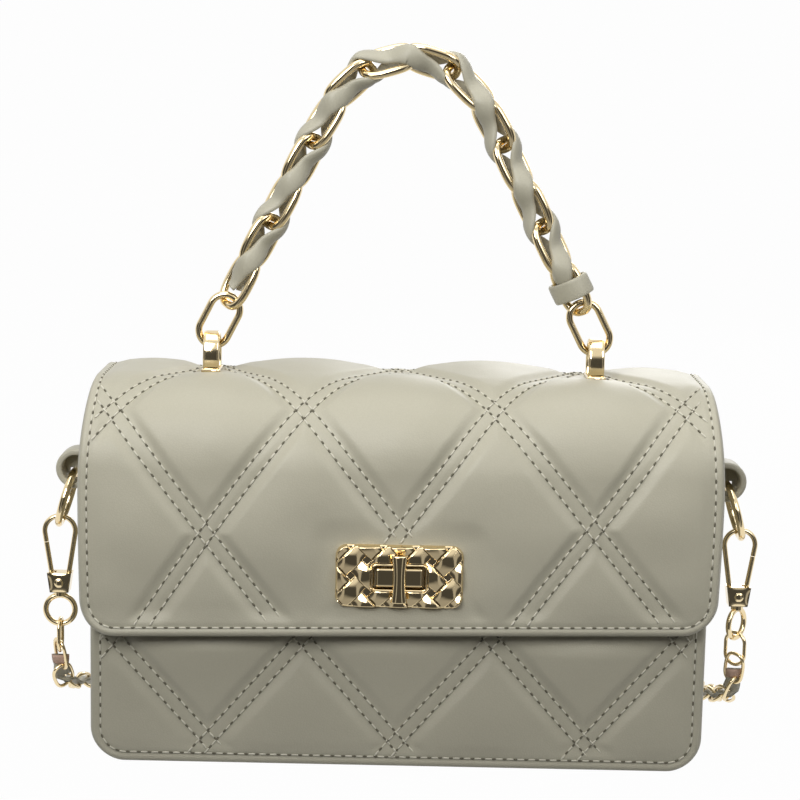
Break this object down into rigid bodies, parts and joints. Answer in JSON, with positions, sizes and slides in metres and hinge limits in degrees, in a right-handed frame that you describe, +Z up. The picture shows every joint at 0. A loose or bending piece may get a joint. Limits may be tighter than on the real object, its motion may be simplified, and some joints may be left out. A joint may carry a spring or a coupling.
{
  "type": "chain shoulder bag",
  "caption": "Quilted leather flap bag with a turn lock on a basket-weave plate, a woven chain handle arching over the flap and a clip-on chain strap at its sides.",
  "frame": {"origin": "middle of the base, on the surface the bag stands on", "axes": "+Z up, the front with the lock faces -Y, +X to the right as seen from the front"},
  "size_m": [0.2534, 0.1721, 0.2459],
  "materials": {
    "bag_leather": "fine-grained, satin, greige",
    "handle_leather": "cut strip, satin, greige",
    "strap_leather": "cut strip woven through small gold links",
    "foam_padding": "open foam",
    "stiffener_board": "pressed fibre board",
    "cloth_lining": "plain woven",
    "weave_gold": "deep gold plating, cast weave",
    "lock_gold": "polished light gold plating",
    "chain_gold": "polished light gold plating",
    "fitting_gold": "polished light gold plating",
    "inner_steel": "bright plated"
  },
  "bodies": {
    "bag": {"front_panel": "bag_leather", "back_panel": "bag_leather", "front_padding": "foam_padding", "back_padding": "foam_padding", "gusset": "bag_leather", "base_board": "stiffener_board", "lining": "cloth_lining", "lock_base": "lock_gold", "lock_washer": "inner_steel", "tab_left": "bag_leather", "tab_right": "bag_leather", "strap_run": "strap_leather"},
    "flap": {"flap_cover": "bag_leather", "flap_padding": "foam_padding", "flap_lining": "cloth_lining", "lock_plate": "weave_gold", "lock_backing": "inner_steel", "handle_loop_left": "chain_gold", "handle_loop_right": "chain_gold", "loop_washers": "inner_steel", "loop_screws": "inner_steel"},
    "toggle": {"lock_toggle": "lock_gold", "lock_clip": "inner_steel"},
    "handle": {"handle_end_link_left": "chain_gold", "handle_link_01": "chain_gold", "handle_link_02": "chain_gold", "handle_link_03": "chain_gold", "handle_link_04": "chain_gold", "handle_link_05": "chain_gold", "handle_link_06": "chain_gold", "handle_link_07": "chain_gold", "handle_link_08": "chain_gold", "handle_link_09": "chain_gold", "handle_link_10": "chain_gold", "handle_link_11": "chain_gold", "handle_link_12": "chain_gold", "handle_link_13": "chain_gold", "handle_link_14": "chain_gold", "handle_end_link_right": "chain_gold", "handle_strand_a": "handle_leather", "handle_strand_b": "handle_leather", "handle_keeper": "handle_leather"},
    "ring_left": {"ring_left": "fitting_gold"},
    "hook_left": {"hook_left": "fitting_gold", "gate_pin_left": "fitting_gold", "strap_lead_left": "strap_leather"},
    "gate_left": {"gate_left": "fitting_gold"},
    "eye_left": {"eye_left": "fitting_gold", "strap_link_left": "fitting_gold"},
    "ring_right": {"ring_right": "fitting_gold"},
    "hook_right": {"hook_right": "fitting_gold", "gate_pin_right": "fitting_gold", "strap_lead_right": "strap_leather"},
    "gate_right": {"gate_right": "fitting_gold"},
    "eye_right": {"eye_right": "fitting_gold", "strap_link_right": "fitting_gold"}
  },
  "joints": [
    {"name": "flap_open", "type": "hinge", "parent": "bag", "child": "flap", "pos_m": [0, 0.033, 0.112], "axis": [-1, 0, 0], "range_deg": [0, 100]},
    {"name": "lock_turn", "type": "hinge", "parent": "bag", "child": "toggle", "pos_m": [0, -0.0425, 0.069], "axis": [0, -1, 0], "range_deg": [0, 90]},
    {"name": "handle_fold", "type": "hinge", "parent": "flap", "child": "handle", "pos_m": [0, 0, 0.1398], "axis": [-1, 0, 0], "range_deg": [-80, 80]},
    {"name": "ring_swing_left", "type": "hinge", "parent": "bag", "child": "ring_left", "pos_m": [-0.11504, 0, 0.09488], "axis": [0, 1, 0], "range_deg": [0, 30]},
    {"name": "hook_hang_left", "type": "hinge", "parent": "ring_left", "child": "hook_left", "pos_m": [-0.12038, 0, 0.07623], "axis": [0, 1, 0], "range_deg": [-30, 0]},
    {"name": "gate_press_left", "type": "hinge", "parent": "hook_left", "child": "gate_left", "pos_m": [-0.12328, 0, 0.05703], "axis": [0, 1, 0], "range_deg": [0, 22], "stiffness_Nm_per_rad": 0.01, "springref_deg": -8.59},
    {"name": "eye_swivel_left", "type": "hinge", "parent": "hook_left", "child": "eye_left", "pos_m": [-0.12038, 0, 0.05143], "axis": [0, 0, 1], "continuous": true},
    {"name": "ring_swing_right", "type": "hinge", "parent": "bag", "child": "ring_right", "pos_m": [0.11504, 0, 0.09488], "axis": [0, -1, 0], "range_deg": [0, 30]},
    {"name": "hook_hang_right", "type": "hinge", "parent": "ring_right", "child": "hook_right", "pos_m": [0.12038, 0, 0.07623], "axis": [0, -1, 0], "range_deg": [-30, 0]},
    {"name": "gate_press_right", "type": "hinge", "parent": "hook_right", "child": "gate_right", "pos_m": [0.12328, 0, 0.05703], "axis": [0, -1, 0], "range_deg": [0, 22], "stiffness_Nm_per_rad": 0.01, "springref_deg": -8.59},
    {"name": "eye_swivel_right", "type": "hinge", "parent": "hook_right", "child": "eye_right", "pos_m": [0.12038, 0, 0.05143], "axis": [0, 0, 1], "continuous": true}
  ],
  "couplings": [
    {"joint": "hook_hang_left", "follows": "ring_swing_left", "ratio": -1},
    {"joint": "hook_hang_right", "follows": "ring_swing_right", "ratio": -1}
  ]
}
